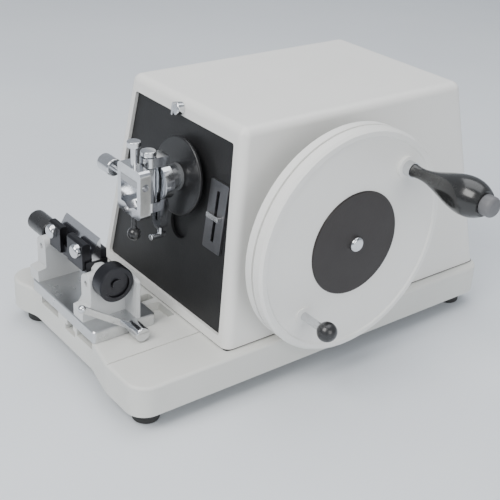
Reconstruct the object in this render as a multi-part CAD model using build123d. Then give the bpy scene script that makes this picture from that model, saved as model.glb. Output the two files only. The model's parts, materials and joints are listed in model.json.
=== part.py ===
from build123d import *
import math
import os

# Rotary microtome. Millimetres, +X towards the handwheel, +Y towards the back, +Z up.
# The origin lies on the bench under the middle of the whole machine.

# Clearances
SEAT = 0.05
RUN = 0.05
AIR = 0.3
OVERCUT = 1.0

# Bed and feet
FOOT_HEIGHT = 17.0
FOOT_RADIUS = 12.0
PAD_HEIGHT = 7.0
PAD_RADIUS = 13.0
FOOT_INSET = 24.0
BED_WIDTH = 258.0
BED_DEPTH = 450.0
BED_THICKNESS = 31.5
BED_X = -67.0
BED_Y = 5.0
BED_CORNER = 20.0
BED_EDGE = 3.0
FRONT_SETBACK = 8.0
LEFT_LOBE = 27.0
LEFT_BLEND = 22.0
RIGHT_LOBE = 55.0
RIGHT_BLEND = 40.0
LOBE_RADIUS = 30.0
BED_WALL = 14.0
POCKET_DEPTH = 17.0
POCKET_CORNER = 12.0
SPINE_WIDTH = 36.0
CROSS_RIB = 12.0
FOOT_BOSS = 17.0

# Channels and T-slot in the top of the bed
CHANNEL_DEPTH = 9.0
LEFT_CHANNEL_X = -116.5
LEFT_CHANNEL_WIDTH = 35.0
RIGHT_CHANNEL_X = -46.0
RIGHT_CHANNEL_WIDTH = 30.0
CHANNEL_FILLET = 2.0
SLOT_X = -74.5
SLOT_NECK_WIDTH = 11.0
SLOT_NECK_DEPTH = 7.0
SLOT_HEAD_WIDTH = 20.0
SLOT_HEAD_HEIGHT = 6.5
CHANNEL_TO_HOOD = 2.0
GROOVE_X = 8.0
GROOVE_WIDTH = 1.6
GROOVE_DEPTH = 1.0

# Hood
SEAL_THICKNESS = 1.5
SEAL_WIDTH = 7.0
SEAL_INSET = 1.2
HOOD_X = -63.3
HOOD_WIDTH = 230.0
HOOD_FRONT = -117.6
HOOD_DEPTH = 343.8
HOOD_HEIGHT = 206.5
FRONT_LEAN = math.radians(7.1)
REAR_LEAN = math.radians(11.1)
SIDE_LEAN = math.radians(6.1)
HOOD_WALL = 3.5
HOOD_EDGE = 9.0
HOOD_INNER_EDGE = 4.0
FRAME_SIDE = 13.0
FRAME_BOTTOM = 9.0
FRAME_TOP = 16.0
WINDOW_CORNER = 3.0

# Front panel, scale and latch
PANEL_THICKNESS = 3.0
PANEL_LAP = 3.0
SCALE_X = 6.0
SCALE_Z = 166.0
SCALE_WIDTH = 27.0
SCALE_HEIGHT = 68.0
SCALE_THICKNESS = 2.5
POINTER_TRAVEL = 22.0
POINTER_WIDTH = 19.0
POINTER_HEIGHT = 5.0
POINTER_THICKNESS = 3.5
POINTER_STEM = 3.4
LATCH_X = -66.0
LATCH_DROP = 9.5
LATCH_RADIUS = 6.3
LATCH_LENGTH = 7.5
LATCH_STEM = 2.3
LATCH_WASHER = 3.2

# Vertical slide and its guide
STROKE = 50.0
RAM_X = -50.0
RAM_Z = 187.0
GUIDE_Y = -58.0
GUIDE_SPACING = 100.0
COLUMN_RADIUS = 9.0
COLUMN_FLANGE = 15.0
COLUMN_FLANGE_HEIGHT = 6.0
SLIDE_TOP_ROOM = 3.0
SLIDE_HEIGHT = 64.0
SLIDE_BUSH_RADIUS = 12.0
SLIDE_BUSH_LENGTH = 18.0
SLIDE_BOSS = 16.5
WEB_THICKNESS = 16.0
BRIDGE_THICKNESS = 12.0
BRIDGE_MARGIN = 16.0
GUIDE_TUBE_RADIUS = 20.0
GUIDE_TUBE_FRONT = -88.0
GUIDE_TUBE_REAR = -20.0
SLEEVE_RADIUS = 13.0
SLEEVE_PROUD = 2.5
SLOT_ROOM = 2.0
BLIND_GAP = 0.8
BLIND_THICKNESS = 2.0
BLIND_WIDTH = 60.0
BLIND_UP = 64.0
BLIND_DOWN = 66.0
SHIELD_RADIUS = 38.0
SHIELD_THICKNESS = 4.0
SHIELD_ROOM = 0.7
SHIELD_EDGE = 1.5

# Feed ram, spindle and ratchet
RAM_RADIUS = 11.0
RAM_FRONT = -129.5
RAM_REAR = -25.0
RAM_BORE_RADIUS = 6.5
RAM_BORE_END = -112.0
RAM_RETRACT = 8.0
NUT_RADIUS = 9.0
NUT_LENGTH = 13.0
SPINDLE_RADIUS = 5.0
SPINDLE_FRONT_ROOM = 2.0
BEARING_Y = 44.0
BEARING_THICKNESS = 10.0
BEARING_WIDTH = 34.0
BEARING_TOP = 16.0
BEARING_BORE = 8.0
ARM_WIDTH = 20.0
ARM_DROP = 23.0
ARM_THICKNESS = 12.0
JOURNAL_RADIUS = 9.0
PAWL_ARM_THICKNESS = 4.0
PAWL_ARM_RADIUS = 14.0
PAWL_REACH = 41.0
PAWL_WIDTH = 9.0
PAWL_RANGE_GAP = 0.5
RATCHET_RADIUS = 30.0
RATCHET_TOOTH = 2.2
RATCHET_TEETH = 48
RATCHET_WIDTH = 7.0
COARSE_ARM_LENGTH = 24.0
COARSE_ARM_WIDTH = 11.0
COARSE_ARM_THICKNESS = 6.0
COARSE_KNOB_RADIUS = 7.0
COARSE_KNOB_LENGTH = 20.0
COARSE_PIN_RADIUS = 2.5

# Crank drive
WHEEL_Y = -1.5
WHEEL_Z = 148.0
YOKE_RIGHT = -4.0
YOKE_THICKNESS = 8.0
YOKE_RIM = 9.0
ROLLER_RADIUS = 8.0
ROLLER_ROOM = 0.2
ROLLER_END_GAP = 0.5
ROLLER_LENGTH = 7.0
CRANK_PIN_RADIUS = 4.0
CRANK_DISC_RADIUS = 36.0
CRANK_DISC_THICKNESS = 8.0
FRAME_GAP = 2.0
FRAME_THICKNESS = 10.0
FRAME_FOOT_HEIGHT = 10.0
FRAME_FOOT_LEFT = -4.0
FRAME_FOOT_RIGHT = 43.0
FRAME_FOOT_HALF = 40.0
FRAME_BOSS = 26.0
FRAME_RIB = 8.0
HOUSING_SPIGOT = 14.0
HOUSING_FLANGE_THICKNESS = 6.0
HOUSING_BARREL = 16.0
HOUSING_END = 48.0
HOOD_HOLE_ROOM = 1.0
BUSH_RADIUS = 11.0
BUSH_LENGTH = 14.0
SHAFT_RADIUS = 8.0
COLLAR_RADIUS = 12.0
FLANGE_BOLT_RADIUS = 2.0
FLANGE_BOLT_HEAD = 3.5
FLANGE_BOLT_CIRCLE = 20.5
FLANGE_BOLT_GRIP = 8.0
FOOT_BOLT_RADIUS = 2.5
FOOT_BOLT_HEAD = 4.2
FOOT_BOLT_DEPTH = 7.0
FOOT_BOLT_EDGE = 7.0
BOLT_HEAD_HEIGHT = 4.0
SOCKET_DEPTH = 2.0
SOCKET_RADIUS = 1.7

# Handwheel
WHEEL_RADIUS = 111.0
WHEEL_BACK = 65.0
WHEEL_FRONT = 89.0
RIM_THICKNESS = 12.0
RIM_LIP = 7.0
RIM_EDGE = 2.5
RIM_GROOVE_WIDTH = 2.6
RIM_GROOVE_DEPTH = 2.5
WEB_FRONT_STEP = 1.5
WHEEL_WEB = 9.0
HUB_RADIUS = 22.0
COVER_RADIUS = 51.6
COVER_THICKNESS = 3.0
COVER_SINK = 1.5
HUB_SCREW_HEAD = 7.5
HUB_SCREW_HEIGHT = 4.5
HUB_SCREW_SHANK = 4.0
HUB_SCREW_LENGTH = 20.0
HANDLE_DY = 55.0
HANDLE_DZ = 65.0
HANDLE_BOSS = 11.0
HANDLE_BOSS_HEIGHT = 4.0
SPINDLE_ROD = 5.0
NECK_RADIUS = 7.5
NECK_LENGTH = 8.0
GRIP_LENGTH = 84.0
GRIP_NECK_RADIUS = 6.5
GRIP_RADIUS = 17.8
GRIP_END_RADIUS = 12.0
END_CAP_RADIUS = 9.5
END_CAP_LENGTH = 11.0
END_ROD = 4.0
LOCK_DY = -56.0
LOCK_DZ = -60.0
LOCK_BOSS = 9.0
LOCK_ROD = 4.0
LOCK_KNOB_X = 121.0
LOCK_KNOB_RADIUS = 9.5
LOCK_TRAVEL = 8.0
CATCH_RADIUS = 9.0
CATCH_GAP = 3.0

# Specimen head
RING_RADIUS = 18.0
RING_REAR = -121.0
RING_FRONT = -130.0
SWING_Y = -139.0
HEAD_ARM_WIDTH = 16.0
HEAD_ARM_THICKNESS = 9.5
BARREL_HALF = 17.1
BARREL_RADIUS = 8.0
BARREL_GAP = 0.4
SWING_PIN = 3.0
SWING_KNOB_RADIUS = 7.5
SWING_KNOB_HEIGHT = 5.5
LUG_WIDTH = 14.0
LUG_BOTTOM = 138.0
SLIT_WIDTH = 3.0
CROSS_BAR_Z = 130.0
CROSS_BAR_FRONT = -137.0
CROSS_BAR_REAR = -119.5
CROSS_BAR_RADIUS = 3.0
CROSS_STEM_RADIUS = 2.5
STEM_GRIP = 6.0
CLAMP_WIDTH = 40.0
CLAMP_HEIGHT = 48.0
CLAMP_Z = 184.0
CLAMP_FRONT = -160.0
CLAMP_DEPTH = 11.0
CLAMP_CORNER = 5.0
JAW_OPENING_WIDTH = 28.0
JAW_OPENING_BOTTOM = 170.0
JAW_OPENING_TOP = 198.0
V_DEPTH = 4.0
JAW_HEIGHT = 7.0
JAW_TRAVEL = 12.0
CLAMP_SCREW_RADIUS = 3.0
CLAMP_SCREW_KNOB = 6.5
CLAMP_SCREW_KNOB_HEIGHT = 6.0
CLAMP_SCREW_TOP = 232.0
LOWER_KNOB_RADIUS = 6.5
LOWER_KNOB_Z = 139.0
LOWER_STEM = 2.5
SIDE_SCREW_Z = 193.0
SIDE_KNOB_RADIUS = 8.5
SIDE_KNOB_LEFT = -104.0
SIDE_KNOB_LENGTH = 20.0
SIDE_BORE = 3.5

# Knife holder
PLATE_LEFT = -152.0
PLATE_RIGHT = -26.0
PLATE_FRONT = -213.0
PLATE_REAR = -145.0
PLATE_THICKNESS = 12.2
PLATE_EDGE = 2.0
PLATE_CORNER = 4.0
SHOE_LENGTH = 40.0
SHOE_HEAD_HEIGHT = 5.6
SHOE_NECK_REACH = 6.0
TILT_Y = -184.0
TILT_Z = 101.0
CRADLE_SHAFT = 5.0
POST_WIDTH = 18.0
POST_TOP = 106.0
POST_FRONT = -203.0
POST_DEPTH = 11.0
POST_SCREW_Z = 96.0
POST_SCREW_RADIUS = 3.0
POST_SCREW_DEPTH = 8.0
RIGHT_POST_X = -57.0
LEFT_POST_X = -148.0
SUPPORT_FOOT_FRONT = -212.0
SUPPORT_FOOT_HEIGHT = 12.0
SUPPORT_REAR = -162.0
SUPPORT_BOSS = 8.5
REAR_WALL_RIGHT = -27.0
REAR_WALL_THICKNESS = 3.7
REAR_WALL_TOP = 104.0
REAR_WALL_SLOPE = 4.0
GUSSET_WIDTH = 14.0
GUSSET_HEIGHT = 20.0
GUSSET_THICKNESS = 6.0
DRUM_RADIUS = 18.0
DRUM_THICKNESS = 16.0
DRUM_RECESS = 2.0
DRUM_RECESS_RADIUS = 13.0
CRADLE_BAR_RADIUS = 9.0
LEDGE_FRONT = -197.0
LEDGE_REAR = -174.0
BLADE_BOTTOM = 112.0
BLADE_TOP = 134.0
BLADE_FRONT = -191.0
BLADE_REAR = -181.5
BLADE_BEVEL = 2.4
BLADE_FOOT = 7.0
BLADE_LEFT = -132.0
BLADE_RIGHT = -66.0
BLADE_TRAVEL = 17.0
CHEEK_FRONT = -200.0
CHEEK_REAR = -174.0
CHEEK_TOP_FRONT = 130.0
CHEEK_TOP_REAR = 121.0
LEFT_JAW = (-134.0, -112.0)
RIGHT_JAW = (-98.0, -68.3)
JAW_NUT_RADIUS = 7.0
JAW_NUT_HEIGHT = 6.0
JAW_NUT_Z = 121.5
JAW_NUT_STEM = 3.0
JAW_NUT_INSET = 8.5
TILT_KNOB_RADIUS = 11.0
TILT_KNOB_LEFT = -195.0
TILT_KNOB_LENGTH = 34.0
LEVER_Y = -172.0
LEVER_Z = 56.5
LEVER_HUB_RADIUS = 7.4
LEVER_HUB_LENGTH = 21.0
LEVER_SHAFT_RADIUS = 2.5
LEVER_SHAFT_LENGTH = 55.0
LEVER_FORWARD = 54.0
LEVER_RISE = 36.5
LEVER_WIDTH = 6.0
LEVER_THICKNESS = 4.0
LEVER_BALL = 3.8

# Heights and places that follow
BED_LEFT = BED_X - BED_WIDTH / 2
BED_RIGHT = BED_X + BED_WIDTH / 2
BED_FRONT = BED_Y - BED_DEPTH / 2
BED_REAR = BED_Y + BED_DEPTH / 2
BED_TOP = FOOT_HEIGHT + BED_THICKNESS
HOOD_BOTTOM = BED_TOP + SEAL_THICKNESS
HOOD_TOP = HOOD_BOTTOM + HOOD_HEIGHT
HOOD_REAR = HOOD_FRONT + HOOD_DEPTH
CHANNEL_END = HOOD_FRONT - CHANNEL_TO_HOOD
FOOT_SPOTS = [
    (x, y)
    for x in (BED_LEFT + FOOT_INSET, BED_RIGHT - FOOT_INSET)
    for y in (BED_FRONT + FOOT_INSET, BED_REAR - FOOT_INSET)
]
PANEL_FACE = -HOOD_WALL
SHIELD_GAP = STROKE * math.sin(FRONT_LEAN) + SHIELD_ROOM
SLIDE_TOP = RAM_Z + SLIDE_HEIGHT / 2
SLIDE_BOTTOM = RAM_Z - SLIDE_HEIGHT / 2
BRIDGE_BOTTOM = SLIDE_TOP + SLIDE_TOP_ROOM
BRIDGE_TOP = BRIDGE_BOTTOM + BRIDGE_THICKNESS
COLUMNS_X = [RAM_X - GUIDE_SPACING / 2, RAM_X + GUIDE_SPACING / 2]
CRANK_RADIUS = STROKE / 2
PIN_Z = WHEEL_Z + CRANK_RADIUS
ROLLER_LEFT = YOKE_RIGHT + ROLLER_END_GAP
CRANK_DISC_LEFT = ROLLER_LEFT + ROLLER_LENGTH + AIR
CRANK_DISC_RIGHT = CRANK_DISC_LEFT + CRANK_DISC_THICKNESS
FRAME_LEFT = CRANK_DISC_RIGHT + FRAME_GAP
FRAME_RIGHT = FRAME_LEFT + FRAME_THICKNESS
FLANGE_RIGHT = FRAME_RIGHT + HOUSING_FLANGE_THICKNESS
FRAME_FOOT_TOP = BED_TOP + FRAME_FOOT_HEIGHT
WEB_FRONT = WHEEL_FRONT - WEB_FRONT_STEP
WEB_BACK = WEB_FRONT - WHEEL_WEB
HUB_BACK = HOUSING_END + 2 * AIR + 1.4
HANDLE_Y = WHEEL_Y + HANDLE_DY
HANDLE_Z = WHEEL_Z + HANDLE_DZ
LOCK_Y = WHEEL_Y + LOCK_DY
LOCK_Z = WHEEL_Z + LOCK_DZ
NECK_START = WEB_FRONT + HANDLE_BOSS_HEIGHT
GRIP_START = NECK_START + NECK_LENGTH + AIR
GRIP_END = GRIP_START + GRIP_LENGTH
COVER_BACK = WEB_FRONT - COVER_SINK
COVER_FRONT = COVER_BACK + COVER_THICKNESS
BEARING_REAR = BEARING_Y + BEARING_THICKNESS
PAWL_ARM_Y = BEARING_REAR + AIR
RATCHET_Y = PAWL_ARM_Y + PAWL_ARM_THICKNESS + AIR
COARSE_ARM_Y = RATCHET_Y + RATCHET_WIDTH
ARM_TOP = RAM_Z - ARM_DROP
ARM_BOTTOM = ARM_TOP - ARM_THICKNESS
LUG_Y = (RING_FRONT + RING_REAR) / 2
CLAMP_TOP = CLAMP_Z + CLAMP_HEIGHT / 2
CLAMP_BOTTOM = CLAMP_Z - CLAMP_HEIGHT / 2
CLAMP_REAR = CLAMP_FRONT + CLAMP_DEPTH
SCREW_Y = CLAMP_FRONT + CLAMP_DEPTH / 2
CLAMP_LEFT = RAM_X - CLAMP_WIDTH / 2
CLAMP_RIGHT = RAM_X + CLAMP_WIDTH / 2
OPENING_LEFT = RAM_X - JAW_OPENING_WIDTH / 2
OPENING_RIGHT = RAM_X + JAW_OPENING_WIDTH / 2
BARREL_TOP = RAM_Z + BARREL_HALF
BARREL_BOTTOM = RAM_Z - BARREL_HALF
TOP_ARM = BARREL_TOP + BARREL_GAP
LOW_ARM = BARREL_BOTTOM - BARREL_GAP
PLATE_BOTTOM = BED_TOP + AIR
PLATE_TOP = PLATE_BOTTOM + PLATE_THICKNESS
RIGHT_WALL = (RIGHT_POST_X - POST_WIDTH / 2, RIGHT_POST_X + POST_WIDTH / 2)
LEFT_WALL = (LEFT_POST_X - POST_WIDTH / 2, LEFT_POST_X + POST_WIDTH / 2)
DRUM_LEFT = RIGHT_WALL[1] + AIR
DRUM_RIGHT = DRUM_LEFT + DRUM_THICKNESS


def box(x0, x1, y0, y1, z0, z1):
    middle = Pos((x0 + x1) / 2, (y0 + y1) / 2, (z0 + z1) / 2)
    return middle * Box(x1 - x0, y1 - y0, z1 - z0)


def along_x(sketch, x0, x1):
    return extrude(Plane.YZ.offset(x0) * sketch, x1 - x0)


def along_y(sketch, y0, y1):
    return extrude(Plane.XZ.offset(-y1) * sketch, y1 - y0)


def along_z(sketch, z0, z1):
    return extrude(Plane.XY.offset(z0) * sketch, z1 - z0)


def rod_x(radius, x0, x1, y, z):
    return along_x(Pos(y, z) * Circle(radius), x0, x1)


def rod_y(radius, y0, y1, x, z):
    return along_y(Pos(x, z) * Circle(radius), y0, y1)


def rod_z(radius, z0, z1, x, y):
    return along_z(Pos(x, y) * Circle(radius), z0, z1)


def outline(*points):
    return Polygon(*points, align=None)


def turned_x(profile, y, z):
    # profile holds (x, radius) points
    return Pos(0, y, z) * revolve(Plane.XZ * profile, Axis.X)


def socket_screw_z(x, y, seat_z, shank, head, grip):
    body = rod_z(head, seat_z, seat_z + BOLT_HEAD_HEIGHT, x, y) + rod_z(shank, seat_z - grip, seat_z, x, y)
    hexagon = Pos(x, y) * RegularPolygon(SOCKET_RADIUS, 6)
    top = seat_z + BOLT_HEAD_HEIGHT
    return body - along_z(hexagon, top - SOCKET_DEPTH, top)


def front_at(z, inset=0.0):
    return HOOD_FRONT + (z - HOOD_BOTTOM) * math.tan(FRONT_LEAN) + inset / math.cos(FRONT_LEAN)


def rear_at(z, inset=0.0):
    return HOOD_REAR - (z - HOOD_BOTTOM) * math.tan(REAR_LEAN) - inset / math.cos(REAR_LEAN)


def half_width_at(z, inset=0.0):
    return HOOD_WIDTH / 2 - (z - HOOD_BOTTOM) * math.tan(SIDE_LEAN) - inset / math.cos(SIDE_LEAN)


# Plane of the hood's front face: local x runs right, local y runs up the slope, local z points out.
FACE = Plane(
    origin=(HOOD_X, HOOD_FRONT, HOOD_BOTTOM),
    x_dir=(1, 0, 0),
    z_dir=(0, -math.cos(FRONT_LEAN), math.sin(FRONT_LEAN)),
)
SLOPE_LENGTH = HOOD_HEIGHT / math.cos(FRONT_LEAN)


def up_slope(z, out=0.0):
    return (z - HOOD_BOTTOM - out * math.sin(FRONT_LEAN)) / math.cos(FRONT_LEAN)


def on_face(sketch, out, thickness):
    return extrude(FACE.offset(out) * sketch, thickness)


def bed_plan(inset=0.0):
    left, right, front = BED_LEFT, BED_RIGHT, BED_FRONT
    plan = Pos(BED_X, BED_Y) * RectangleRounded(BED_WIDTH, BED_DEPTH, BED_CORNER)
    setback = outline(
        (left + LEFT_LOBE, front),
        (left + LEFT_LOBE + LEFT_BLEND, front + FRONT_SETBACK),
        (right - RIGHT_LOBE - RIGHT_BLEND, front + FRONT_SETBACK),
        (right - RIGHT_LOBE, front),
    )
    plan = plan - setback
    inner = [v for v in plan.vertices() if left + LEFT_LOBE - 1 < v.X < right - RIGHT_LOBE + 1]
    inner = [v for v in inner if v.Y < front + FRONT_SETBACK + 1]
    return fillet(inner, LOBE_RADIUS)


def bed_pockets():
    spine = (SLOT_X - SPINE_WIDTH / 2, SLOT_X + SPINE_WIDTH / 2)
    columns = [(BED_LEFT + BED_WALL, spine[0]), (spine[1], BED_RIGHT - BED_WALL)]
    front = BED_FRONT + FRONT_SETBACK + BED_WALL
    rows = [(front, BED_Y - CROSS_RIB / 2), (BED_Y + CROSS_RIB / 2, BED_REAR - BED_WALL)]
    cells = Sketch()
    for x0, x1 in columns:
        for y0, y1 in rows:
            cell = Pos((x0 + x1) / 2, (y0 + y1) / 2) * RectangleRounded(x1 - x0, y1 - y0, POCKET_CORNER)
            cells = cells + cell
    for x, y in FOOT_SPOTS:
        cells = cells - Pos(x, y) * Circle(FOOT_BOSS)
    return along_z(cells, FOOT_HEIGHT, FOOT_HEIGHT + POCKET_DEPTH)


def channel(x, width, floor):
    cut = box(x - width / 2, x + width / 2, BED_FRONT - OVERCUT, CHANNEL_END, floor, BED_TOP + OVERCUT)
    corners = [e for e in cut.edges().filter_by(Axis.Z) if e.center().Y > BED_FRONT]
    return fillet(corners, CHANNEL_FILLET)


def bed_casting():
    body = along_z(bed_plan(), FOOT_HEIGHT, BED_TOP)
    body = fillet(body.faces().sort_by(Axis.Z)[-1].edges(), BED_EDGE)
    body = body - bed_pockets()
    body = body - channel(LEFT_CHANNEL_X, LEFT_CHANNEL_WIDTH, BED_TOP - CHANNEL_DEPTH)
    body = body - channel(RIGHT_CHANNEL_X, RIGHT_CHANNEL_WIDTH, BED_TOP - CHANNEL_DEPTH)
    neck_floor = BED_TOP - SLOT_NECK_DEPTH
    body = body - channel(SLOT_X, SLOT_NECK_WIDTH, neck_floor)
    half = SLOT_HEAD_WIDTH / 2
    head = (SLOT_X - half, SLOT_X + half, BED_FRONT - OVERCUT, CHANNEL_END)
    body = body - box(*head, neck_floor - SLOT_HEAD_HEIGHT, neck_floor)
    groove = (GROOVE_X, GROOVE_X + GROOVE_WIDTH, BED_FRONT - OVERCUT, HOOD_FRONT)
    body = body - box(*groove, BED_TOP - GROOVE_DEPTH, BED_TOP + OVERCUT)
    for x, y in foot_bolt_spots():
        body = body - rod_z(FOOT_BOLT_RADIUS + SEAT, BED_TOP - FOOT_BOLT_DEPTH, BED_TOP, x, y)
    return body


def machine_feet():
    feet = []
    for x, y in FOOT_SPOTS:
        foot = rod_z(FOOT_RADIUS, PAD_HEIGHT, FOOT_HEIGHT, x, y)
        feet.append(chamfer(foot.edges().filter_by(GeomType.CIRCLE), 1.0))
    return feet


def foot_pads():
    pads = []
    for x, y in FOOT_SPOTS:
        pad = rod_z(PAD_RADIUS, 0, PAD_HEIGHT, x, y)
        pads.append(fillet(pad.edges().filter_by(GeomType.CIRCLE), 1.5))
    return pads


def hood_block(inset, edge, low):
    top = HOOD_TOP - inset
    side = outline(
        (front_at(low, inset), low),
        (rear_at(low, inset), low),
        (rear_at(top, inset), top),
        (front_at(top, inset), top),
    )
    low_half = half_width_at(low, inset)
    top_half = half_width_at(top, inset)
    front = outline(
        (HOOD_X - low_half, low),
        (HOOD_X + low_half, low),
        (HOOD_X + top_half, top),
        (HOOD_X - top_half, top),
    )
    block = along_x(side, HOOD_X - HOOD_WIDTH, HOOD_X + HOOD_WIDTH)
    block = block & along_y(front, HOOD_FRONT - HOOD_WIDTH, HOOD_REAR + HOOD_WIDTH)
    upper = [e for e in block.edges() if e.center().Z > low + OVERCUT]
    return fillet(upper, edge)


def window(lap=0.0):
    low = FRAME_BOTTOM - lap
    high = SLOPE_LENGTH - FRAME_TOP + lap
    side = math.tan(SIDE_LEAN) * math.cos(FRONT_LEAN)
    low_half = HOOD_WIDTH / 2 - low * side - FRAME_SIDE + lap
    high_half = HOOD_WIDTH / 2 - high * side - FRAME_SIDE + lap
    shape = outline((-low_half, low), (low_half, low), (high_half, high), (-high_half, high))
    return fillet(shape.vertices(), WINDOW_CORNER)


def hood():
    shell = hood_block(0.0, HOOD_EDGE, HOOD_BOTTOM)
    shell = shell - hood_block(HOOD_WALL, HOOD_INNER_EDGE, HOOD_BOTTOM - OVERCUT)
    shell = shell - on_face(window(), -HOOD_WALL - OVERCUT, HOOD_WALL + 2 * OVERCUT)
    hole = HOUSING_BARREL + HOOD_HOLE_ROOM
    shell = shell - rod_x(hole, FLANGE_RIGHT, WHEEL_BACK, WHEEL_Y, WHEEL_Z)
    return shell - latch_stem(LATCH_STEM + AIR)


def hood_seal():
    outer = hood_block(SEAL_INSET, HOOD_INNER_EDGE, BED_TOP - OVERCUT)
    inner = hood_block(SEAL_WIDTH, HOOD_INNER_EDGE, BED_TOP - OVERCUT)
    slab = box(
        HOOD_X - HOOD_WIDTH,
        HOOD_X + HOOD_WIDTH,
        HOOD_FRONT - HOOD_WIDTH,
        HOOD_REAR + HOOD_WIDTH,
        BED_TOP,
        HOOD_BOTTOM,
    )
    return (outer - inner) & slab


def ram_slot(room):
    radius = SLEEVE_RADIUS + room
    shape = Pos(RAM_X, RAM_Z - STROKE / 2) * Rot(0, 0, 90) * SlotCenterToCenter(STROKE, 2 * radius)
    return along_y(shape, HOOD_FRONT - OVERCUT, GUIDE_TUBE_FRONT)


def scale_spot(out):
    return Pos(SCALE_X - HOOD_X, up_slope(SCALE_Z, out))


def pointer_slot(out, thickness):
    length = 2 * POINTER_TRAVEL + POINTER_HEIGHT + 2 * AIR
    shape = scale_spot(PANEL_FACE) * Rectangle(POINTER_STEM + 2 * AIR, length)
    return on_face(shape, out, thickness)


def front_panel():
    panel = on_face(window(PANEL_LAP), PANEL_FACE - PANEL_THICKNESS, PANEL_THICKNESS)
    panel = panel - ram_slot(SLOT_ROOM)
    return panel - pointer_slot(PANEL_FACE - PANEL_THICKNESS - OVERCUT, PANEL_THICKNESS + 2 * OVERCUT)


def thickness_scale():
    shape = scale_spot(PANEL_FACE) * RectangleRounded(SCALE_WIDTH, SCALE_HEIGHT, 2.0)
    plate = on_face(shape, PANEL_FACE, SCALE_THICKNESS)
    return plate - pointer_slot(PANEL_FACE - OVERCUT, SCALE_THICKNESS + 2 * OVERCUT)


def thickness_pointer():
    spot = scale_spot(PANEL_FACE)
    face = PANEL_FACE + SCALE_THICKNESS + AIR
    back = PANEL_FACE - PANEL_THICKNESS - AIR
    head = on_face(spot * RectangleRounded(POINTER_WIDTH, POINTER_HEIGHT, 1.5), face, POINTER_THICKNESS)
    stem = on_face(spot * Rectangle(POINTER_STEM, POINTER_HEIGHT), back, face - back)
    washer = on_face(spot * RectangleRounded(POINTER_WIDTH / 2, POINTER_HEIGHT, 1.0), back - 1.5, 1.5)
    return head + stem + washer


def latch_spot():
    return Pos(LATCH_X - HOOD_X, SLOPE_LENGTH - LATCH_DROP)


def latch_stem(radius):
    return on_face(latch_spot() * Circle(radius), -HOOD_WALL - AIR, HOOD_WALL + 2 * AIR)


def hood_latch():
    knob = on_face(latch_spot() * Circle(LATCH_RADIUS), AIR, LATCH_LENGTH)
    tip = knob.edges().filter_by(GeomType.CIRCLE).sort_by(Axis.Y)[0]
    knob = fillet(tip, 1.5)
    wing = on_face(latch_spot() * Rectangle(2.4, 2 * LATCH_RADIUS - 1), AIR + LATCH_LENGTH, 2.5)
    washer = on_face(latch_spot() * Circle(LATCH_WASHER), -HOOD_WALL - AIR - 1.5, 1.5)
    return knob + wing + latch_stem(LATCH_STEM) + washer


def guide_columns():
    columns = []
    for x in COLUMNS_X:
        column = rod_z(COLUMN_RADIUS, BED_TOP, BRIDGE_TOP, x, GUIDE_Y)
        flange = rod_z(COLUMN_FLANGE, BED_TOP, BED_TOP + COLUMN_FLANGE_HEIGHT, x, GUIDE_Y)
        columns.append(column + flange)
    return columns


def guide_bridge():
    length = GUIDE_SPACING + 2 * BRIDGE_MARGIN
    shape = Pos(RAM_X, GUIDE_Y) * SlotOverall(length, 2 * BRIDGE_MARGIN)
    bridge = along_z(shape, BRIDGE_BOTTOM, BRIDGE_TOP)
    for x in COLUMNS_X:
        bridge = bridge - rod_z(COLUMN_RADIUS + SEAT, BRIDGE_BOTTOM, BRIDGE_TOP, x, GUIDE_Y)
    return bridge


def foot_bolt_spots():
    xs = (FRAME_FOOT_LEFT + FOOT_BOLT_EDGE, FRAME_FOOT_RIGHT - FOOT_BOLT_EDGE)
    ys = (WHEEL_Y - FRAME_FOOT_HALF + FOOT_BOLT_EDGE, WHEEL_Y + FRAME_FOOT_HALF - FOOT_BOLT_EDGE)
    return [(x, y) for x in xs for y in ys]


def flange_bolt_spots():
    angles = [math.radians(45 + 90 * i) for i in range(4)]
    reach = FLANGE_BOLT_CIRCLE
    return [(WHEEL_Y + reach * math.cos(a), WHEEL_Z + reach * math.sin(a)) for a in angles]


def mechanism_frame():
    y0, y1 = WHEEL_Y - FRAME_FOOT_HALF, WHEEL_Y + FRAME_FOOT_HALF
    foot = box(FRAME_FOOT_LEFT, FRAME_FOOT_RIGHT, y0, y1, BED_TOP, FRAME_FOOT_TOP)
    foot = fillet(foot.edges().filter_by(Axis.Z), 6.0)
    side = outline(
        (y0 + 4, FRAME_FOOT_TOP),
        (y1 - 4, FRAME_FOOT_TOP),
        (WHEEL_Y + FRAME_BOSS, WHEEL_Z),
        (WHEEL_Y - FRAME_BOSS, WHEEL_Z),
    )
    plate = along_x(side + Pos(WHEEL_Y, WHEEL_Z) * Circle(FRAME_BOSS), FRAME_LEFT, FRAME_RIGHT)
    slope = outline(
        (FRAME_RIGHT, FRAME_FOOT_TOP),
        (FRAME_FOOT_RIGHT, FRAME_FOOT_TOP),
        (FRAME_RIGHT, WHEEL_Z - FRAME_BOSS - 4),
    )
    rib = along_y(slope, WHEEL_Y - FRAME_RIB / 2, WHEEL_Y + FRAME_RIB / 2)
    frame = foot + plate + rib
    frame = frame - rod_x(HOUSING_SPIGOT + SEAT, FRAME_LEFT, FRAME_RIGHT, WHEEL_Y, WHEEL_Z)
    for x, y in foot_bolt_spots():
        frame = frame - rod_z(FOOT_BOLT_RADIUS + SEAT, BED_TOP, FRAME_FOOT_TOP, x, y)
    for y, z in flange_bolt_spots():
        frame = frame - rod_x(FLANGE_BOLT_RADIUS + SEAT, FRAME_RIGHT - FLANGE_BOLT_GRIP, FRAME_RIGHT, y, z)
    return frame


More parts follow.
